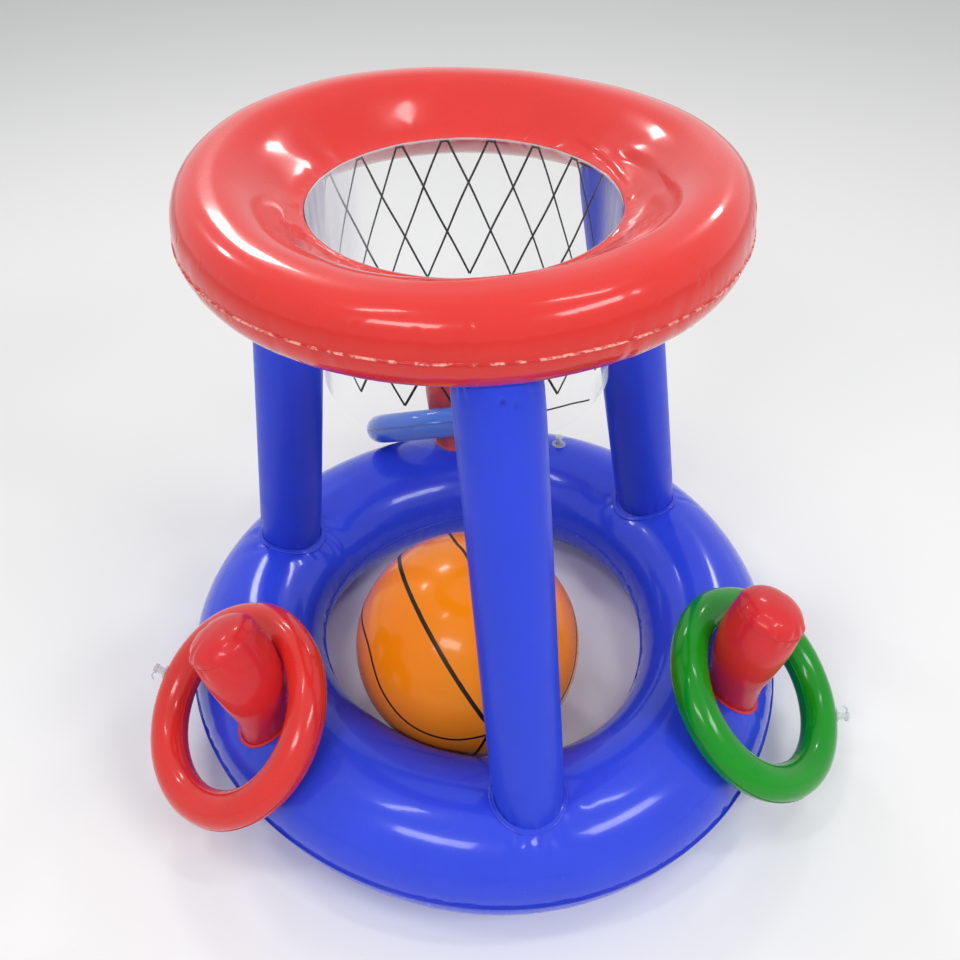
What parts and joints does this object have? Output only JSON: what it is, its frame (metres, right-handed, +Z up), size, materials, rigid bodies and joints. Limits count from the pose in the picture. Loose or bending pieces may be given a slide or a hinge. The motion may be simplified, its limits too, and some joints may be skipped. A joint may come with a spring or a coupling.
{
  "type": "inflatable basketball hoop",
  "caption": "Inflatable poolside basketball hoop on three legs with a clear net sleeve, a ball and toss rings hung on pegs round its base ring.",
  "frame": {"origin": "centre of the bounding box's footprint, on the floor under the base ring", "axes": "+Z up; the front leg stands towards -Y, the left and right toss rings towards -X and +X, and the third toss ring towards +Y"},
  "size_m": [0.6572, 0.653, 0.5757],
  "materials": {
    "base_blue": "glossy blue film",
    "leg_blue": "glossy blue film, a shade darker",
    "red_film": "glossy red film",
    "sky_film": "glossy light blue film",
    "green_film": "glossy green film",
    "orange_film": "glossy orange film with dark printed lines",
    "clear_film": "clear film with a dark printed lattice",
    "clear_soft": "clear soft moulded vinyl"
  },
  "bodies": {
    "stand": {"base_upper_sheet": "base_blue", "base_lower_sheet": "base_blue", "base_valve_flange": "clear_soft", "hoop_upper_sheet": "red_film", "hoop_lower_sheet": "red_film", "hoop_valve_flange": "clear_soft", "net_sleeve": "clear_film", "leg_front": "leg_blue", "leg_front_foot_flange": "leg_blue", "leg_right": "leg_blue", "leg_right_foot_flange": "leg_blue", "leg_left": "leg_blue", "leg_left_foot_flange": "leg_blue", "peg_right_wall": "red_film", "peg_right_crown": "red_film", "peg_right_foot_flange": "red_film", "peg_back_wall": "red_film", "peg_back_crown": "red_film", "peg_back_foot_flange": "red_film", "peg_left_wall": "red_film", "peg_left_crown": "red_film", "peg_left_foot_flange": "red_film"},
    "ball": {"ball_half_pierced": "orange_film", "ball_half_plain": "orange_film", "ball_valve_flange": "clear_soft"},
    "toss_green": {"toss_green_upper_sheet": "green_film", "toss_green_lower_sheet": "green_film", "toss_green_valve_flange": "clear_soft"},
    "toss_blue": {"toss_blue_upper_sheet": "sky_film", "toss_blue_lower_sheet": "sky_film", "toss_blue_valve_flange": "clear_soft"},
    "toss_red": {"toss_red_upper_sheet": "red_film", "toss_red_lower_sheet": "red_film", "toss_red_valve_flange": "clear_soft"},
    "base_stem": {"base_valve_stem": "clear_soft"},
    "base_plug": {"base_valve_plug": "clear_soft"},
    "hoop_stem": {"hoop_valve_stem": "clear_soft"},
    "hoop_plug": {"hoop_valve_plug": "clear_soft"},
    "toss_green_stem": {"toss_green_valve_stem": "clear_soft"},
    "toss_green_plug": {"toss_green_valve_plug": "clear_soft"},
    "toss_blue_stem": {"toss_blue_valve_stem": "clear_soft"},
    "toss_blue_plug": {"toss_blue_valve_plug": "clear_soft"},
    "toss_red_stem": {"toss_red_valve_stem": "clear_soft"},
    "toss_red_plug": {"toss_red_valve_plug": "clear_soft"},
    "ball_stem": {"ball_valve_stem": "clear_soft"},
    "ball_plug": {"ball_valve_plug": "clear_soft"}
  },
  "joints": [
    {"name": "ball_lift", "type": "slide", "parent": "stand", "child": "ball", "axis": [0, 0, 1], "range_m": [0, 0.16]},
    {"name": "toss_green_lift", "type": "slide", "parent": "stand", "child": "toss_green", "axis": [0, 0, 1], "range_m": [0, 0.205]},
    {"name": "toss_blue_lift", "type": "slide", "parent": "stand", "child": "toss_blue", "axis": [0, 0, 1], "range_m": [0, 0.205]},
    {"name": "toss_red_lift", "type": "slide", "parent": "stand", "child": "toss_red", "axis": [0, 0, 1], "range_m": [0, 0.205]},
    {"name": "base_stem_push", "type": "slide", "parent": "stand", "child": "base_stem", "axis": [-0.0525, -0.0948, -0.9941], "range_m": [0, 0.0062]},
    {"name": "base_plug_pull", "type": "slide", "parent": "base_stem", "child": "base_plug", "axis": [0.0525, 0.0948, 0.9941], "range_m": [0, 0.008]},
    {"name": "hoop_stem_push", "type": "slide", "parent": "stand", "child": "hoop_stem", "axis": [-0.1818, -0.3419, 0.922], "range_m": [0, 0.0062]},
    {"name": "hoop_plug_pull", "type": "slide", "parent": "hoop_stem", "child": "hoop_plug", "axis": [0.1818, 0.3419, -0.922], "range_m": [0, 0.008]},
    {"name": "toss_green_stem_push", "type": "slide", "parent": "toss_green", "child": "toss_green_stem", "axis": [-0.9738, 0.2274, -0.0015], "range_m": [0, 0.0062]},
    {"name": "toss_green_plug_pull", "type": "slide", "parent": "toss_green_stem", "child": "toss_green_plug", "axis": [0.9738, -0.2274, 0.0015], "range_m": [0, 0.008]},
    {"name": "toss_blue_stem_push", "type": "slide", "parent": "toss_blue", "child": "toss_blue_stem", "axis": [-0.415, 0.2028, -0.8869], "range_m": [0, 0.0062]},
    {"name": "toss_blue_plug_pull", "type": "slide", "parent": "toss_blue_stem", "child": "toss_blue_plug", "axis": [0.415, -0.2028, 0.8869], "range_m": [0, 0.008]},
    {"name": "toss_red_stem_push", "type": "slide", "parent": "toss_red", "child": "toss_red_stem", "axis": [0.8748, -0.4067, -0.2634], "range_m": [0, 0.0062]},
    {"name": "toss_red_plug_pull", "type": "slide", "parent": "toss_red_stem", "child": "toss_red_plug", "axis": [-0.8748, 0.4067, 0.2634], "range_m": [0, 0.008]},
    {"name": "ball_stem_push", "type": "slide", "parent": "ball", "child": "ball_stem", "axis": [-0.2494, -0.798, -0.5486], "range_m": [0, 0.0062]},
    {"name": "ball_plug_pull", "type": "slide", "parent": "ball_stem", "child": "ball_plug", "axis": [0.2494, 0.798, 0.5486], "range_m": [0, 0.008]}
  ]
}
